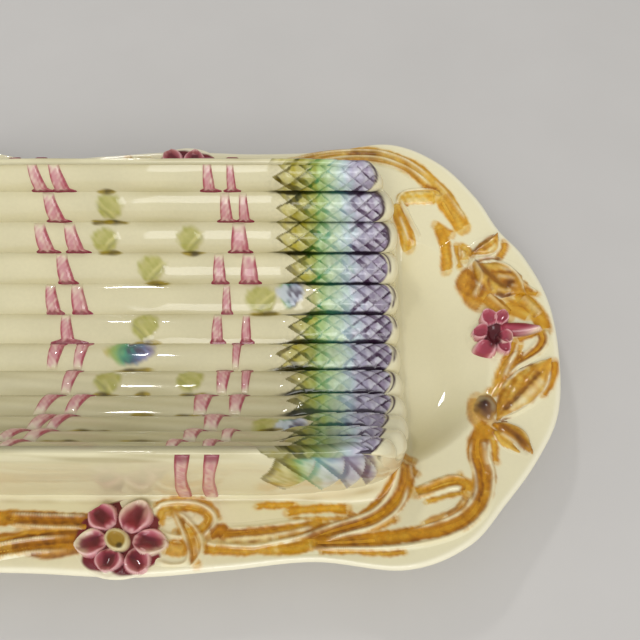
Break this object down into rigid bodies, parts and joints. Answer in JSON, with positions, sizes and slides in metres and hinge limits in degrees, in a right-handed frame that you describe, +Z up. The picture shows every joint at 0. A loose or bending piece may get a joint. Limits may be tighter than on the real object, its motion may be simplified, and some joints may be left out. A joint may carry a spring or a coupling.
{
  "type": "asparagus plate",
  "caption": "Oval earthenware serving platter with a raised trough moulded as a tied asparagus bundle, a sauce well at each end and a rim with vine, leaf and flower relief.",
  "frame": {"origin": "centre of the foot ring on the table, under the middle of the dish", "axes": "+X along the spears towards their tips, +Y across the dish to the far side, +Z up"},
  "size_m": [0.3968, 0.2336, 0.0725],
  "materials": {
    "cream_glaze": "glossy lead-type glaze over painted colour",
    "spear_glaze": "glossy lead-type glaze over painted colour",
    "pink_glaze": "glossy lead-type glaze over painted colour",
    "rose_glaze": "glossy lead-type glaze over painted colour",
    "amber_glaze": "glossy lead-type glaze over painted colour"
  },
  "bodies": {
    "root": {"dish": "cream_glaze", "foot_ring": "cream_glaze", "cradle_shell": "cream_glaze", "spear_01": "spear_glaze", "spear_02": "spear_glaze", "spear_03": "spear_glaze", "spear_04": "spear_glaze", "spear_05": "spear_glaze", "spear_06": "spear_glaze", "spear_07": "spear_glaze", "spear_08": "spear_glaze", "spear_09": "spear_glaze", "spear_10": "spear_glaze", "spear_11": "spear_glaze", "spear_12": "spear_glaze", "side_spear_near": "spear_glaze", "side_spear_far": "spear_glaze", "tie_heads": "pink_glaze", "tie_butts": "pink_glaze", "flower_near": "rose_glaze", "flower_far": "rose_glaze", "bow_near": "amber_glaze", "bow_far": "amber_glaze", "vine_near_right": "amber_glaze", "vine_far_left": "amber_glaze", "trail_near_right": "amber_glaze", "trail_far_left": "amber_glaze", "fork_near_right": "amber_glaze", "fork_far_left": "amber_glaze", "vine_far_right": "amber_glaze", "vine_near_left": "amber_glaze", "branch_far_right": "amber_glaze", "branch_near_left": "amber_glaze", "hook_far_right": "amber_glaze", "hook_near_left": "amber_glaze", "leaves_low_right": "amber_glaze", "leaves_low_left": "amber_glaze", "knob_right": "amber_glaze", "knob_left": "amber_glaze", "leaves_top_right": "amber_glaze", "leaves_top_left": "amber_glaze", "stems_top_right": "amber_glaze", "stems_top_left": "amber_glaze", "bloom_right": "rose_glaze", "bloom_left": "rose_glaze", "bloom_stem_right": "amber_glaze", "bloom_stem_left": "amber_glaze"}
  },
  "joints": []
}
